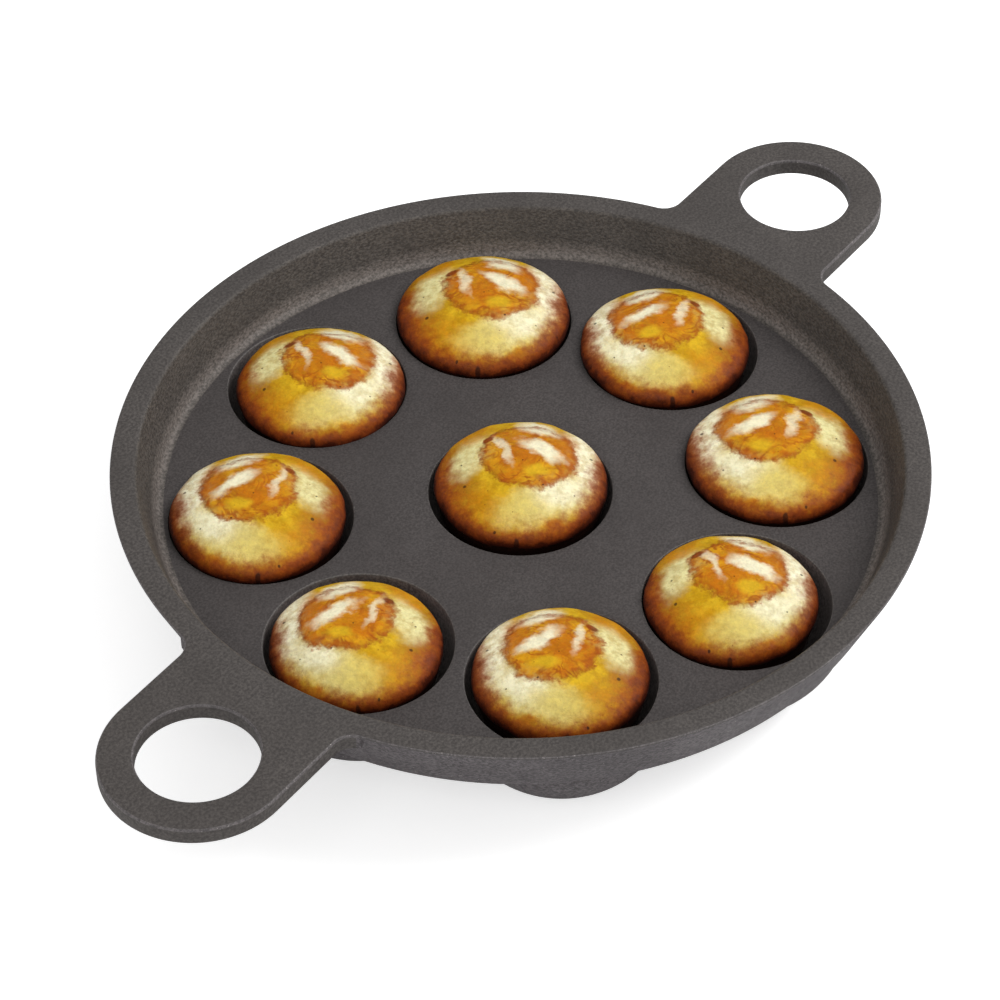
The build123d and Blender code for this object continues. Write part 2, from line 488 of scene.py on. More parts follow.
# Rounded outer edges: lighter with more painted glints, a painted highlight along the edges, and partly wear
IRON_EDGE = SandCastIron(
    "iron_edge_wear_and_highlight", srgb(72, 68, 68), srgb(112, 106, 106), srgb(196, 188, 184),
    grain_size=0.80 * MM, relief=0.20 * MM, roughness=0.52, glints=0.12, sheen_level=0.38)
IRON_WALL = SandCastIron(
    "iron_basin_wall", srgb(56, 52, 49), srgb(93, 87, 82), srgb(152, 142, 136), flatten=1.6, painted_foot_highlight=True,
    grain_size=1.00 * MM, relief=0.26 * MM, roughness=0.56, glints=0.06, sheen_level=0.34)
IRON_PLATE = SandCastIron(
    "iron_plate", srgb(58, 54, 53), srgb(80, 75, 74), srgb(104, 98, 95),
    grain_size=0.70 * MM, relief=0.10 * MM, roughness=0.62, glints=0.02, sheen_level=0.28)
# Lighter than the plate: a painted highlight on the rounded edges of the cups' mouths
IRON_LIP = SandCastIron(
    "iron_mouth_lip_highlight", srgb(74, 71, 69), srgb(108, 103, 100), srgb(150, 144, 140),
    grain_size=0.70 * MM, relief=0.12 * MM, roughness=0.55, glints=0.05, sheen_level=0.34)
# Much lighter than the rest of the iron: painted light inside the cups, where little light reaches
IRON_BOWL = SandCastIron(
    "iron_bowl_painted_light", srgb(84, 78, 76), srgb(128, 120, 117), srgb(158, 150, 146),
    grain_size=0.80 * MM, relief=0.12 * MM, roughness=0.55, glints=0.03, sheen_level=0.34)
# Lighter than the top faces: painted light on the outer wall and the undersides, which face the front light
IRON_OUTSIDE = SandCastIron(
    "iron_outside_painted_light", srgb(64, 60, 61), srgb(110, 104, 106), srgb(178, 170, 168), flatten=1.2,
    grain_size=1.00 * MM, relief=0.30 * MM, roughness=0.62, glints=0.10, sheen_level=0.32)


@dataclass(frozen=True)
class Blot:
    """One soft-edged patch on a cake's crown, seen from above."""

    centre: Point  # Place in shares of the cake's radius: to the right, and away
    reach: Point  # Half its width and half its depth, in the same shares
    turn: float  # Turn about its centre, in degrees
    soft: float  # Width of its soft edge, in shares of its own reach
    colour: Colour  # Colour of the patch
    strength: float = 1.0  # How much of what lies under it is covered
    ragged: float = 0.10  # How far its edge wanders, in shares of the cake's radius


@dataclass(frozen=True)
class BlotEdges:
    """What settles where the blots of one cake end."""

    board: NodeBoard
    here: Socket  # Place on the cake, in shares of its radius
    wander: Socket  # Slow wander of the edges
    crumb: Socket  # Fine pattern that breaks the edges up

    def reach(self, blot: Blot) -> Socket:
        """Build the distance from a blot's centre, which is 1 along its ragged edge.

        Args:
            blot: The blot.

        Returns:
            The distance.
        """
        board = self.board
        bent = board.vector("ADD", self.here, board.vector("MULTIPLY", self.wander, (blot.ragged * 2.4,) * 3))
        local = board.framed(bent, (*blot.centre, 0), math.radians(blot.turn), (*blot.reach, 1))
        flat = board.vector("MULTIPLY", local, ON_THE_FLAT)
        return board.plus(board.vector("LENGTH", flat), board.centred(self.crumb, 0.28))

    def mask(self, blot: Blot) -> Socket:
        """Build the share, from 0 to 1, that a blot covers."""
        return self.board.fade(self.reach(blot), 1 + blot.soft / 2, 1 - blot.soft / 2)


OCHRE = srgb(194, 148, 12)
YELLOW = srgb(214, 172, 30)
# Cream, straw and pale are the colours of painted highlights on the crust
STRAW_HIGHLIGHT = srgb(214, 190, 92)
CREAM_HIGHLIGHT = srgb(226, 216, 156)
PALE_HIGHLIGHT = srgb(244, 238, 204)
GOLDEN = srgb(210, 148, 18)
AMBER = srgb(148, 88, 16)
TOASTED = srgb(188, 108, 6)
RUST = srgb(150, 68, 8)
RUSSET = srgb(112, 46, 12)
DARK = srgb(60, 20, 8)
CHAR = srgb(26, 9, 5)


@dataclass(frozen=True)
class BakedCrust:
    """The crust of a cake: golden batter with a browned, smeared crown, a dark edge and painted highlights.
    """

    # Soft patches round the crown, the lowest first: browned batter, and painted highlights in cream, straw
    # and pale
    ground: tuple[Blot, ...] = (
        Blot((-0.88, -0.10), (0.32, 0.64), 8, 1.1, AMBER, 0.92, 0.14),
        Blot((-0.52, -0.62), (0.40, 0.26), -30, 1.2, TOASTED, 0.55, 0.14),
        Blot((0.34, -0.50), (0.56, 0.25), 30, 1.0, CREAM_HIGHLIGHT, 0.95),
        Blot((0.44, -0.42), (0.32, 0.15), 32, 1.0, PALE_HIGHLIGHT, 0.80, 0.08),
        Blot((0.00, -0.66), (0.34, 0.18), 8, 1.1, STRAW_HIGHLIGHT, 0.80),
        Blot((0.76, 0.30), (0.24, 0.58), 4, 0.8, PALE_HIGHLIGHT, 1.0, 0.08),
        Blot((-0.58, 0.20), (0.21, 0.38), -24, 0.9, CREAM_HIGHLIGHT, 1.0, 0.12),
        Blot((-0.60, 0.66), (0.30, 0.18), 40, 1.0, TOASTED, 0.60, 0.12),
    )
    crown: Blot = Blot((0.10, 0.19), (0.56, 0.57), 18, 0.20, GOLDEN, 1.0, 0.11)  # The browned patch on top
    # Smears over the crown, the lowest first; the pale ones are painted highlights
    smears: tuple[Blot, ...] = (
        Blot((0.52, 0.36), (0.15, 0.34), 8, 0.9, TOASTED, 0.70, 0.08),
        Blot((-0.02, 0.04), (0.26, 0.22), 0, 1.1, TOASTED, 0.65, 0.12),
        Blot((0.02, 0.52), (0.13, 0.26), -10, 1.0, TOASTED, 0.55, 0.08),
        Blot((0.18, -0.13), (0.14, 0.09), 0, 1.0, YELLOW, 0.85, 0.08),
        Blot((0.24, 0.24), (0.29, 0.11), -36, 1.0, PALE_HIGHLIGHT, 0.92, 0.15),
        Blot((0.22, 0.72), (0.27, 0.14), -34, 1.0, PALE_HIGHLIGHT, 0.92, 0.15),
        Blot((-0.22, 0.28), (0.05, 0.25), 16, 1.2, PALE_HIGHLIGHT, 0.65, 0.14),
        Blot((-0.38, 0.47), (0.085, 0.045), 44, 0.6, RUSSET, 0.90, 0.03),
        Blot((0.42, -0.86), (0.14, 0.06), 20, 1.2, TOASTED, 0.70, 0.12),
    )
    # Small dark specks: place to the right, place away, and radius
    specks: tuple[tuple[float, float, float], ...] = (
        (-0.66, -0.29, 0.020), (0.84, 0.24, 0.018), (0.26, -0.34, 0.012), (-0.70, 0.08, 0.012),
        (-0.06, -1.02, 0.030), (0.02, 0.02, 0.010), (0.62, -0.42, 0.010), (-0.30, -0.92, 0.016),
    )
    # Bands of the dark edge: colour, heights where it starts and where it's full, and strength
    browning: tuple[tuple[Colour, float, float, float], ...] = (
        (RUST, 0.31, 0.17, 0.82), (RUSSET, 0.23, 0.12, 0.92),
        (DARK, 0.14, 0.055, 0.95), (CHAR, 0.06, -0.03, 1.0),
    )
    # Levels of the swirl along which thin brown lines run over the crown
    line_levels: tuple[float, float] = (0.43, 0.56)

    def make(self, name: str, centre: Vector, radius: float, turn: float, mirrored: bool, seed: float
             ) -> bpy.types.Material:
        """Build the material of one cake.

        Args:
            name: Name of the material.
            centre: The cake's centre at its widest level.
            radius: The cake's largest radius.
            turn: Turn of the pattern about the upright axis, in radians.
            mirrored: Whether the pattern is the other way round.
            seed: Shifts the fine patterns, so that no two cakes have the same ones.

        Returns:
            The material.
        """
        board = NodeBoard(name)
        fade, noise, times, plus = board.fade, board.noise, board.times, board.plus
        here = board.framed(board.place, centre, turn, (-radius if mirrored else radius, radius, radius))
        fine = board.vector("ADD", here, (seed, seed * 0.7, seed * 1.3))

        slow = noise(fine, 3.4, detail=4, roughness=0.6, colour=True)
        wander = board.vector("SUBTRACT", slow, (0.5, 0.5, 0.5))
        crumb = noise(fine, 15, detail=5, roughness=0.65)
        mottle = noise(fine, 6, detail=4, roughness=0.6)
        patchy = noise(fine, 10, detail=3, roughness=0.6)
        edges = BlotEdges(board, here, wander, crumb)

        paint = Paint(board, board.mix(fade(mottle, 0.38, 0.64), OCHRE, YELLOW))
        coat = paint.coat
        broken = fade(patchy, 0.28, 0.62, 0.62, 1.0)
        # The cream, straw and pale blots among these are painted highlights
        for blot in self.ground:
            coat(blot.colour, times(edges.mask(blot), blot.strength), broken)

        reach = edges.reach(self.crown)
        inside = fade(reach, 1.07, 0.92)
        bent = noise(fine, 4.5, detail=4, bend=0.6)
        browned = board.mix(fade(bent, 0.40, 0.60), self.crown.colour, TOASTED)
        coat(browned, inside, fade(patchy, 0.25, 0.60, 0.60, 0.95))
        swirl = noise(fine, 2.6, detail=3, bend=0.5)
        for level in self.line_levels:
            from_line = board.math("ABSOLUTE", board.math("SUBTRACT", swirl, level))
            line = times(fade(from_line, 0.050, 0.0), inside)
            coat(RUST, line, fade(mottle, 0.38, 0.60, 0.20, 0.80))
        for blot in self.smears:
            coat(blot.colour, edges.mask(blot), blot.strength)
        outline = times(fade(reach, 1.12, 1.00), fade(reach, 0.82, 0.96))
        coat(RUST, outline, fade(patchy, 0.35, 0.62, 0.10, 0.70))

        shifted = board.vector("ADD", here, board.vector("MULTIPLY", wander, (0.10, 0.10, 0.10)))
        spread = board.vector("LENGTH", board.vector("MULTIPLY", shifted, ON_THE_FLAT))
        place = board.parts(here)
        ragged = plus(board.centred(crumb, 0.09), board.centred(mottle, 0.22))
        flank = fade(board.math("ABSOLUTE", place["X"]), 0.45, 0.95, 0.0, -0.06)
        far_side = fade(place["Y"], 0.0, 0.6, 0.0, 0.14)
        depth = plus(plus(place["Z"], ragged), plus(flank, far_side))
        tan = times(fade(spread, 0.86, 1.02), fade(place["Y"], -0.4, 0.6, 1.0, 0.15))
        coat(AMBER, tan, fade(patchy, 0.3, 0.6, 0.50, 0.95))
        for colour, first, last, strength in self.browning:
            coat(colour, fade(depth, first, last), strength)
        for right, away, size in self.specks:
            speck = Blot((right, away), (size, size), 0, 0.6, CHAR, ragged=0.02)
            coat(CHAR, edges.mask(speck), 0.75)
        pepper = times(fade(board.cells(fine, 9), 0.10, 0.05), fade(noise(fine, 2.6, detail=1), 0.50, 0.58))
        coat(RUSSET, pepper, 0.6)
        grainy = times(fade(noise(fine, 30, detail=3), 0.3, 0.7, 0.93, 1.05),
                       fade(patchy, 0.3, 0.7, 0.90, 1.08))
        grained = board.mix(1.0, paint.tone, board.grey(grainy), "MULTIPLY")
        pores = fade(board.cells(fine, 22), 0.05, 0.30)
        skin = board.bump(plus(crumb, times(pores, 0.25)), 0.40 * MM, 0.55)
        board.surface({
            "Base Color": grained,
            "Roughness": fade(mottle, 0.3, 0.7, 0.42, 0.60),
            "Specular IOR Level": 0.12,
            "Subsurface Weight": 0.05,
            "Subsurface Radius": (4 * MM, 2 * MM, 1 * MM),
            "Subsurface Scale": 0.5,
            "Normal": board.bump(inside, 0.50 * MM, 0.8, skin),
        })
        return board.material


# Sub-assemblies


@dataclass
class Casting:
    """The iron pan: rim with handles, plate, and the nine bowls under it. Lengths in metres."""

    plate_radius: float = 104.81 * MM  # Radius of the flat part of the plate
    foot_round: float = 3.0 * MM  # Round between the plate and the wall
    inner_lean: float = 18.0  # Lean of the wall's inner face, in degrees
    outer_lean: float = 22.9  # Lean of its outer face, in degrees
    land_width: float = 7.9 * MM  # Width of the flat land on the rim
    land_round: float = 1.6 * MM  # Round of the land's inner edge
    edge_round: float = 0.8 * MM  # Round of the outer edges
    mouth_radius: float = 27.15 * MM  # Radius of a cup's mouth
    mouth_round: float = 0.6 * MM  # Round of its edge
    bowl_arc: float = 25.37 * MM  # Radius of the arc of a bowl's inside
    bowl_depth: float = 24.0 * MM  # Height of the arc's centre over a bowl's floor
    bowl_iron: float = 6.0 * MM  # Thickness of a bowl
    bowl_fillet: float = 1.5 * MM  # Fillet between a bowl's outside and the plate
    base_round: float = 0.9 * MM  # Round of a bowl's flat bottom
    hole_radius: float = 17.2 * MM  # Radius of a handle's hole
    ring_width: float = 10.2 * MM  # Width of iron round a handle's hole
    root_round: float = 6.0 * MM  # Round where a handle meets the rim
    root_depth: float = 2.0 * MM  # How far a handle's blank reaches into the wall
    overlap: float = 0.1 * MM  # How far pieces that are joined or cut run past each other
    handle_iron: float = 5.6 * MM  # Thickness of a handle
    fine_segments: int = 288  # Points round the rim
    bowl_segments: int = 96  # Points round a bowl
    handle_segments: int = 128  # Points round a handle's end and hole

    def __post_init__(self) -> None:
        """Read the heights and radii that the frame settles."""
        wall_low, wall_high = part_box("rim_wall")
        plate_low, plate_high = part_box("plate_middle")
        self.rim_radius = wall_high.x
        self.rim_top = wall_high.z
        self.seam = wall_low.z
        self.plate_bottom, self.plate_top = plate_low.z, plate_high.z
        self.cup_ring = 2 * plate_high.x
        self.hole_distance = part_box("handle_right")[1].x - self.hole_radius - self.ring_width
        self.handle_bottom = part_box("handle_right")[0].z
        self.bowl_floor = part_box("cup_floor_middle")[1].z
        self.bowl_middle = self.bowl_floor + self.bowl_depth
        self.bowl_offset = self.mouth_radius - self.bowl_arc
        self.centres = [self.cup_place(index) for index in range(RING_CUPS + 1)]

    def inner(self, height: float) -> float:
        """Radius of the wall's inner face at a height."""
        drop = self.rim_top - height
        return self.rim_radius - self.land_width - drop * math.tan(math.radians(self.inner_lean))

    def outer(self, height: float) -> float:
        """Radius of the wall's outer face at a height."""
        return self.rim_radius - (self.rim_top - height) * math.tan(math.radians(self.outer_lean))

    def bowl_radius(self, height: float) -> float:
        """Radius of a bowl's inside at a height."""
        drop = max(0.0, self.bowl_middle - height)
        return self.bowl_offset + math.sqrt(self.bowl_arc ** 2 - drop ** 2)

    def cup_place(self, index: int) -> Vector:
        """Centre of a cup: 0 is the middle one, and 1 stands by the right handle.

        Args:
            index: Number of the cup.

        Returns:
            Its centre, seen from above.
        """
        if index == 0:
            return Vector()
        angle = math.tau * (index - 1) / RING_CUPS
        return Vector((self.cup_ring * math.cos(angle), self.cup_ring * math.sin(angle), 0))

    def build(self) -> list[Piece]:
        """Build and dress every iron piece.

        Returns:
            The pieces.
        """
        finishes = (IRON_LAND, IRON_EDGE, IRON_WALL, IRON_PLATE, IRON_LIP, IRON_BOWL, IRON_OUTSIDE)
        self.made = {finish.name: finish.make() for finish in finishes}
        pieces = [self.rim(), self.plate()] + self.bowls()
        for piece in pieces:
            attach(piece, "pan")
            LOG.info("%s: %d faces", piece.name, len(piece.data.polygons))
        return pieces

    def dress(self, piece: Piece, chosen: Callable[[Face], SandCastIron]) -> None:
        """Give each face the finish that a rule chooses.

        Args:
            piece: The piece to dress.
            chosen: The rule.
        """
        order = []
        for face in piece.data.polygons:
            finish = chosen(face)
            if finish not in order:
                order.append(finish)
                piece.data.materials.append(self.made[finish.name])
            face.material_index = order.index(finish)

    def rim(self) -> Piece:
        """Build the wall with its land and both handles, which are cast in one.

        Returns:
            The piece.
        """
        top, seam = self.rim_top, self.seam
        land_inner = self.rim_radius - self.land_width
        reach = self.land_round * math.tan(math.radians((90 - self.inner_lean) / 2))
        round_centre = (land_inner + reach, top - self.land_round)
        inside_round = arc(round_centre, self.land_round, 90, 180 - self.inner_lean, steps=5)
        profile = [(self.outer(seam), seam), (self.rim_radius, top), *inside_round, (self.inner(seam), seam)]
        wall = Bench.turn("rim_and_handles", profile, self.fine_segments, Closing.RING)
        count = Bench.round_edges(wall, on_circles(top, self.rim_radius), self.edge_round)
        LOG.info("rim_and_handles: %d edges rounded", count)
        right = self.handle()
        left = Bench.copy(right, "handle_left_blank", turn=math.pi)
        Bench.combine(wall, right, "UNION")
        Bench.combine(wall, left, "UNION")
        Bench.tidy(wall)

        def finish(face: Face) -> SandCastIron:
            """The finish of one face of the rim, whose painted light and shade go by where the face lies and
            which way it faces.

            Args:
                face: The face.

            Returns:
                Its finish.
            """
            reach, up = face.center.xy.length, face.normal.z
            inward = face.normal.xy.dot(face.center.xy) < 0
            if inward and reach < land_inner + self.land_round and up < 0.9:
                return IRON_WALL
            outside = face.center.z < top - 2 * self.edge_round and reach < self.rim_radius
            if outside and up < 0.2:
                return IRON_OUTSIDE
            outer = reach > land_inner + 2 * self.land_round
            return IRON_EDGE if outer and 0.15 < up < 0.97 else IRON_LAND

        self.dress(wall, finish)
        Bench.shade(wall)
        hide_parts("rim_wall", "handle_left", "handle_right")
        return wall

    def handle(self) -> Piece:
        """Build the right handle's blank: a round end, straight flanks and rounds at its roots.

        Returns:
            The blank.
        """
        end = self.hole_radius + self.ring_width
        root_y = end + self.root_round
        root_x = math.sqrt((self.rim_radius - self.overlap + self.root_round) ** 2 - root_y ** 2)
        spread = math.degrees(math.atan2(root_y, root_x))
        inside = self.outer(self.handle_bottom) - self.root_depth
        middle = (self.hole_distance, 0, self.handle_bottom)
        Bench.clear()
        bpy.ops.mesh.primitive_circle_add(vertices=self.handle_segments, radius=end, location=middle)
        blank = bpy.context.object
        blank.name = blank.data.name = "handle_blank"
        Bench.settle(blank)
        Bench.edit(blank)
        mesh = bmesh.from_edit_mesh(blank.data)
        for vertex in mesh.verts:
            vertex.select = vertex.co.x < self.hole_distance - SAME_LEVEL
        mesh.select_flush_mode()
        bmesh.update_edit_mesh(blank.data)
        bpy.ops.mesh.delete(type="VERT")
        path = [
            (self.hole_distance, end),
            *arc((root_x, root_y), self.root_round, -90, spread - 180, steps=12),
            *arc((0, 0), inside, spread, -spread, steps=16),
            *arc((root_x, -root_y), self.root_round, 180 - spread, 90, steps=12),
            (self.hole_distance, -end),
        ]
        mesh = bmesh.from_edit_mesh(blank.data)
        start = Vector((*path[0], self.handle_bottom))
        min(mesh.verts, key=lambda vertex: (vertex.co - start).length).select = True
        bmesh.update_edit_mesh(blank.data)
        for (x, y), (next_x, next_y) in zip(path, path[1:]):
            bpy.ops.mesh.extrude_vertices_move(TRANSFORM_OT_translate={"value": (next_x - x, next_y - y, 0)})
        bpy.ops.mesh.select_all(action="SELECT")
        bpy.ops.mesh.remove_doubles(threshold=SAME_LEVEL)
        bpy.ops.mesh.edge_face_add()
        bpy.ops.mesh.extrude_region_move(TRANSFORM_OT_translate={"value": (0, 0, self.handle_iron)})
        Bench.tidy(blank)
        bpy.ops.mesh.primitive_cylinder_add(vertices=self.handle_segments, radius=self.hole_radius,
                                            depth=4 * self.handle_iron, location=middle)
        punch = bpy.context.object
        Bench.settle(punch)
        Bench.combine(blank, punch, "DIFFERENCE")
        Bench.tidy(blank)

        def outline_edge(edge: bmesh.types.BMEdge) -> bool:
            """Whether an edge lies on the outline or the hole, above or below, and isn't inside the rim.

            Args:
                edge: The edge.

            Returns:
                Whether it does.
            """
            level = abs(edge.verts[0].co.z - edge.verts[1].co.z) < SAME_LEVEL
            outside = max(point.co.xy.length for point in edge.verts) > inside + self.overlap
            return level and outside and edge.calc_face_angle(0) > math.radians(35)

        Bench.round_edges(blank, outline_edge, self.edge_round)
        return blank

    def plate(self) -> Piece:
        """Build the plate with its nine mouths and the foot that turns up to the wall.

        Returns:
            The plate.
        """
        seam, bottom = self.seam, self.plate_bottom
        foot_centre = (self.plate_radius, self.plate_top + self.foot_round)
        foot = arc(foot_centre, self.foot_round, -90, -self.inner_lean, steps=8)
        profile = [*foot, (self.inner(seam), seam), (self.outer(seam), seam), (self.outer(bottom), bottom)]
        plate = Bench.turn("plate", profile, self.fine_segments, Closing.SOLID)
        Bench.round_edges(plate, on_circles(bottom, self.outer(bottom)), self.edge_round)

        heights = (bottom - MM, bottom, bottom + 1.2 * MM, bottom + 2.4 * MM,
                   self.bowl_middle, self.plate_top + 2 * MM)
        punch_profile = [(self.bowl_radius(height), height) for height in heights]
        punch = Bench.turn("mouth_punch", punch_profile, self.bowl_segments, Closing.SOLID)
        punches = [Bench.copy(punch, "mouth_punch_copy", place) for place in self.centres[1:]]
        Bench.pick(punch)
        for twin in punches:
            twin.select_set(True)
        bpy.ops.object.join()
        Bench.combine(plate, punch, "DIFFERENCE")
        Bench.tidy(plate)
        mouths = on_circles(self.plate_top, self.mouth_radius, self.centres)
        count = Bench.round_edges(plate, mouths, self.mouth_round)
        LOG.info("plate: %d mouth edges rounded", count)

        def finish(face: Face) -> SandCastIron:
            """The finish of one face of the plate, whose painted light and shade go by where the face lies
            and which way it faces.

            Args:
                face: The face.

            Returns:
                Its finish.
            """
            reach, up = face.center.xy.length, face.normal.z
            from_mouth = min((face.center - centre).xy.length for centre in self.centres) - self.mouth_radius
            if from_mouth < 0 and abs(up) < 0.75:
                return IRON_BOWL
            if from_mouth < self.mouth_round and 0.1 < up < 0.98:
                return IRON_LIP
            if up < 0.1 and (reach > self.plate_radius or face.center.z < self.plate_top - MM):
                outward = face.normal.xy.dot(face.center.xy) > 0
                return IRON_OUTSIDE if outward or up < -0.3 else IRON_WALL
            return IRON_WALL if reach > self.plate_radius + 0.5 * MM else IRON_PLATE

        self.dress(plate, finish)
        Bench.shade(plate)
        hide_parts(*(f"plate_{name}" for name in CUP_NAMES))
        return plate

    def bowls(self) -> list[Piece]:
        """Build the nine bowls under the plate; the ones of the ring meet at flat planes.

        Returns:
            The bowls.
        """
        shell = self.bowl_arc + self.bowl_iron
        centre = (self.bowl_offset, self.bowl_middle)
        fillet_height = self.plate_bottom - self.bowl_fillet
        drop = self.bowl_middle - fillet_height
        fillet_x = self.bowl_offset + math.sqrt((shell + self.bowl_fillet) ** 2 - drop ** 2)
        tangent = math.degrees(math.asin(drop / (shell + self.bowl_fillet)))
        floor_angle = math.degrees(math.asin((self.bowl_middle - self.bowl_floor) / self.bowl_arc))
        lip_angle = math.degrees(math.asin((self.bowl_middle - self.plate_bottom) / self.bowl_arc))
        base_angle = math.degrees(math.asin(self.bowl_middle / shell))
        profile = [
            *arc(centre, self.bowl_arc, -floor_angle, -lip_angle, steps=20),
            *arc((fillet_x, fillet_height), self.bowl_fillet, 90, 180 - tangent, steps=5),
            *arc(centre, shell, -tangent, -base_angle, steps=20)[1:],
        ]
        blank = Bench.turn("bowl_blank", profile, self.bowl_segments, Closing.SOLID)
        base = on_circles(0, self.bowl_offset + shell * math.cos(math.radians(base_angle)))
        Bench.round_edges(blank, base, self.base_round, segments=3)
        pieces = []
        for index, (name, place) in enumerate(zip(CUP_NAMES, self.centres)):
            bowl = Bench.copy(blank, f"bowl_{name}", place)
            if index:
                for side in (-1, 1):
                    self.cut_at_neighbour(bowl, math.tau * (index - 1 + side / 2) / RING_CUPS, side)

            def finish(face: Face, middle: Vector = place) -> SandCastIron:
                """The finish of one face of a bowl, whose lighter tones inside and outside are painted light.
                """
                inside = face.normal.xy.dot(face.center.xy - middle.xy) < -1e-6 or face.normal.z > 0.9
                return IRON_BOWL if inside and face.center.z > self.bowl_floor / 2 else IRON_OUTSIDE

            self.dress(bowl, finish)
            Bench.shade(bowl)
            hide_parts(f"cup_{name}", f"cup_floor_{name}")
            pieces.append(bowl)
        bpy.data.objects.remove(blank)
        return pieces

    @staticmethod
    def cut_at_neighbour(bowl: Piece, angle: float, side: int) -> None:
        """Cut a bowl off at the upright plane midway to its neighbour, and close the cut.

        Args:
            bowl: The bowl to cut.
            angle: Angle of the plane about the upright axis, in radians.
            side: 1 for the neighbour further round, and -1 for the one before.
        """
        Bench.edit(bowl, action="SELECT")
        normal = (-side * math.sin(angle), side * math.cos(angle), 0)
        bpy.ops.mesh.bisect(plane_co=(0, 0, 0), plane_no=normal, use_fill=True, clear_outer=True)
        Bench.tidy(bowl)


@dataclass
class Cakes:
    """The nine round cakes, one in each cup."""

    crown_height: float = 12.0 * MM  # Height of a cake above its widest level, in metres
    shoulder_round: float = 4.2 * MM  # Round between its side and its crown
    bulge: float = 0.9 * MM  # How far the crust bulges out over the cup's mouth
    bulge_height: float = 2.0 * MM  # Height of the bulge above the side's widest level
    tuck: float = 24.0  # Angle below the level at which the shoulder's arc starts, in degrees
    dent_width: float = 11.0 * MM  # Width of the crust's slow dents
    dent_depth: float = 0.9 * MM  # Depth of the dents
    dent_level: float = 0.80  # Share of the dents' pattern that goes inwards
    side_offset: float = 1.78 * MM  # Distance from its axis to the centre of its side's arc
    segments: int = 160  # Points round a cake
    pattern_turn: float = math.radians(-53.35)  # Turn of the crust's pattern, in radians
    mirrored: tuple[str, ...] = ("1", "8", "6", "5", "4")  # Cakes whose crust is the other way round

    def build(self) -> list[Piece]:
        """Build and dress every cake.

        Returns:
            The cakes.
        """
        crust = BakedCrust()
        unevenness = bpy.data.textures.new("cake_unevenness", "CLOUDS")
        unevenness.noise_scale = self.dent_width
        unevenness.noise_depth = 2
        pieces = []
        for index, name in enumerate(CUP_NAMES):
            cake = self.shape(name, unevenness)
            low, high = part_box(f"cake_{name}")
            middle = (low + high) / 2
            middle.z = high.z - self.crown_height
            radius = (high.x - low.x) / 2
            cake.data.materials.append(crust.make(
                f"crust_{name}", middle, radius, self.pattern_turn, name in self.mirrored, 3.1 + 1.7 * index))
            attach(cake, f"cake_{name}")
            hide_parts(f"cake_{name}")
            LOG.info("%s: radius %.1f mm, %d faces", cake.name, radius / MM, len(cake.data.polygons))
            pieces.append(cake)
        return pieces

    def shape(self, name: str, unevenness: bpy.types.Texture) -> Piece:
        """Shape one cake: a flat bottom, a side that follows its cup, and a low rounded crown.

        Args:
            name: The name that the cake shares with its cup.
            unevenness: Slow pattern that dents the crust.

        Returns:
            The cake.
        """
        low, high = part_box(f"cake_{name}")
        radius = (high.x - low.x) / 2
        widest = high.z - self.crown_height
        side = radius - self.side_offset
        rise = widest - low.z
        bottom_angle = math.degrees(math.asin(min(1, rise / side)))
        shoulder = radius + self.bulge - self.shoulder_round
        height = self.crown_height - self.bulge_height
        corner = self.shoulder_round
        crown = (shoulder ** 2 + height ** 2 - corner ** 2) / (2 * (height - corner))
        lean = math.degrees(math.atan2(crown - height, shoulder))
        almost_up = 89.4
        profile = [
            *arc((self.side_offset, widest), side, -bottom_angle, 0, steps=26),
            *arc((shoulder, high.z - height), corner, -self.tuck, lean, steps=12),
            *arc((0, high.z - crown), crown, lean, almost_up, steps=24)[1:],
        ]
        blank = Bench.turn("cake_blank", profile, self.segments, Closing.SOLID)
        place = Vector(((low.x + high.x) / 2, (low.y + high.y) / 2, 0))
        cake = Bench.copy(blank, f"baked_cake_{name}", place)
        bpy.data.objects.remove(blank)
        dent = cake.modifiers.new("unevenness", "DISPLACE")
        dent.texture = unevenness
        dent.texture_coords = "LOCAL"
        dent.strength = self.dent_depth
        dent.mid_level = self.dent_level
        Bench.pick(cake)
        bpy.ops.object.modifier_apply(modifier=dent.name)
        Bench.shade(cake, 50)
        return cake


# Studio


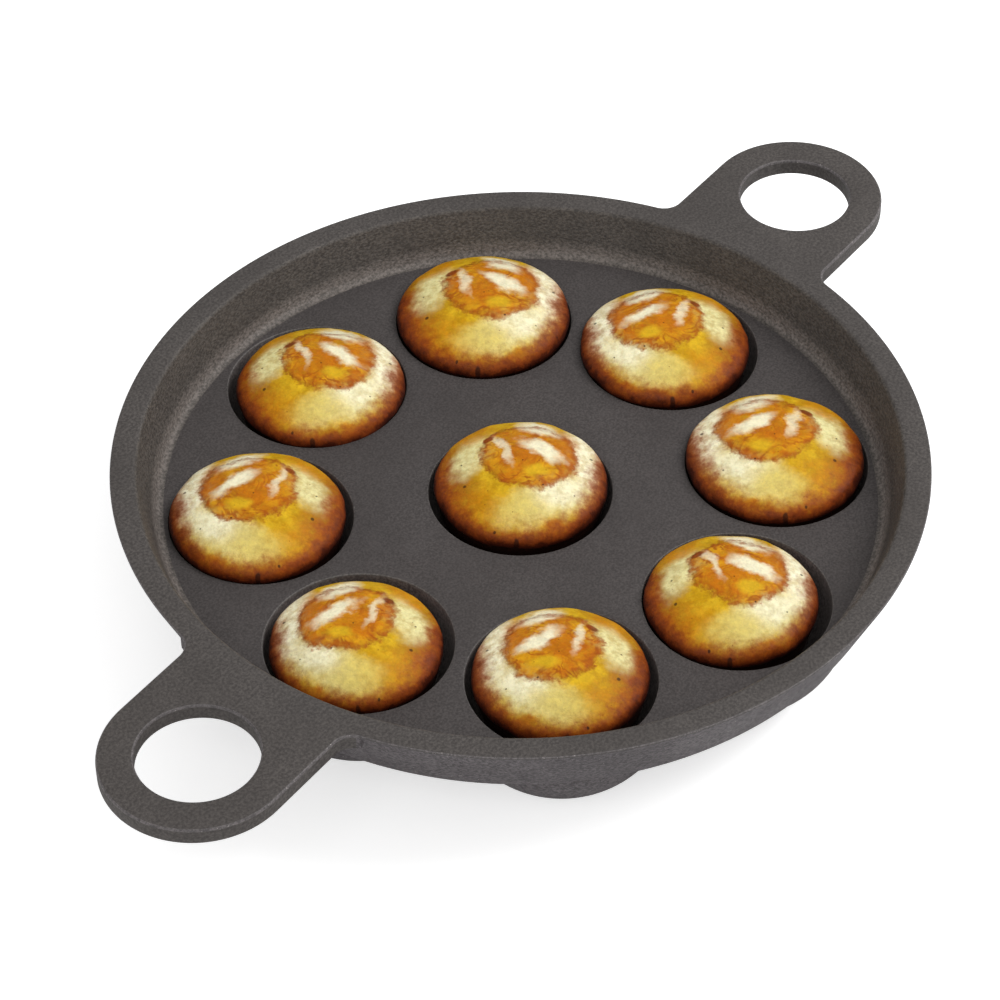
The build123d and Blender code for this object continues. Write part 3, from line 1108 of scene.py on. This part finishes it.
@dataclass
class Studio:
    """The pale floor, the soft lights and the camera."""

    floor_reach: float = 6.0  # Half the floor's width, in metres
    floor_tone: float = 0.86  # Grey of the floor
    floor_glow: float = 0.54  # Light that the floor adds for the camera alone
    world_level: float = 0.55  # Level of the light from all round
    camera_distance: float = 1.02604  # From the rim's centre to the camera, in metres
    camera_height: float = 43.401  # Angle of the camera above the rim's centre, in degrees
    camera_pitch: float = 44.198  # How far the camera looks down, in degrees
    camera_yaw: float = -0.467  # How far it looks aside, in degrees
    camera_roll: float = -0.624  # How far it's rolled, in degrees
    handles_turn: float = 53.352  # Angle from the camera's right to the line through the handles, in degrees
    focal_length: float = 126.4  # Focal length, in millimetres
    sensor_width: float = 36.0  # Width of its sensor, in millimetres
    # Name, place as the camera sees it (right, ahead, up), width and power in watts of each lamp
    lamps: tuple[tuple[str, tuple[float, float, float], float, float], ...] = (
        ("key_light", (1.05, 0.20, 1.20), 0.8, 15), ("front_light", (-0.25, -1.3, 1.05), 1.2, 8),
    )

    def build(self, rim_top: float) -> None:
        """Set up the studio round the pan.

        Args:
            rim_top: Height of the rim's top, which the camera was fitted to.
        """
        self.floor()
        self.world()
        turn = Matrix.Rotation(-math.radians(self.handles_turn), 3, "Z")
        for name, place, size, power in self.lamps:
            self.lamp(name, turn @ Vector(place), size, power)
        self.camera(rim_top, turn)
        bpy.context.scene.view_settings.view_transform = "Standard"

    def floor(self) -> None:
        """Add the floor, which shows white to the camera and keeps the pan's shadow."""
        Bench.clear()
        bpy.ops.mesh.primitive_plane_add(size=2 * self.floor_reach)
        floor = bpy.context.object
        floor.name = floor.data.name = "studio_floor"
        board = NodeBoard("studio_floor")
        board.surface({"Base Color": (self.floor_tone,) * 3, "Roughness": 0.9, "Specular IOR Level": 0.1})
        to_camera = board.times(board.node("LightPath", {})["Is Camera Ray"], self.floor_glow)
        glow = board.node("Emission", {"Strength": to_camera})[0]
        both = board.node("AddShader", {0: board.shader.outputs[0], 1: glow})[0]
        board.wire(both, board.output.inputs["Surface"])
        floor.data.materials.append(board.material)

    def world(self) -> None:
        """Light the scene evenly from all round."""
        world = bpy.data.worlds.new("studio_world")
        world.use_nodes = True
        background = world.node_tree.nodes["Background"]
        background.inputs["Color"].default_value = (1, 1, 1, 1)
        background.inputs["Strength"].default_value = self.world_level
        bpy.context.scene.world = world

    def lamp(self, name: str, place: Vector, size: float, power: float) -> None:
        """Add one soft lamp that faces the pan.

        Args:
            name: Name of the lamp.
            place: Where it hangs.
            size: Width of its face, in metres.
            power: Power, in watts.
        """
        Bench.clear()
        bpy.ops.object.light_add(type="AREA", location=place)
        lamp = bpy.context.object
        lamp.name = lamp.data.name = name
        lamp.data.size = size
        lamp.data.energy = power
        lamp.rotation_euler = (-place).to_track_quat("-Z", "Y").to_euler()

    def camera(self, rim_top: float, turn: Matrix) -> None:
        """Add the camera at the photograph's angle.

        Args:
            rim_top: Height of the rim's top.
            turn: Turn from the camera's directions to the frame's.
        """
        angles = (self.camera_height, self.camera_pitch, self.camera_yaw, self.camera_roll)
        height, pitch, yaw, roll = (math.radians(angle) for angle in angles)
        place = self.camera_distance * Vector((0, -math.cos(height), math.sin(height)))
        ahead = Vector((math.sin(yaw) * math.cos(pitch), math.cos(yaw) * math.cos(pitch), -math.sin(pitch)))
        right = Vector((math.cos(yaw), -math.sin(yaw), 0))
        up = right.cross(ahead)
        rolled_right = math.cos(roll) * right + math.sin(roll) * up
        rolled_up = math.cos(roll) * up - math.sin(roll) * right
        axes = Matrix((turn @ rolled_right, turn @ rolled_up, turn @ -ahead)).transposed()
        data = bpy.data.cameras.new("photo_camera")
        data.lens = self.focal_length
        data.sensor_width = self.sensor_width
        data.clip_start, data.clip_end = 0.05, 50
        camera = bpy.data.objects.new("photo_camera", data)
        camera.matrix_world = Matrix.Translation(turn @ place + Vector((0, 0, rim_top))) @ axes.to_4x4()
        bpy.context.scene.collection.objects.link(camera)
        bpy.context.scene.camera = camera


def main() -> None:
    """Build the pan, the cakes and the studio."""
    logging.basicConfig(level=logging.INFO, format="%(name)s %(message)s")
    casting = Casting()
    pieces = casting.build() + Cakes().build()
    Studio().build(casting.rim_top)
    LOG.info("%d pieces", len(pieces))


if __name__ == "__main__":
    main()
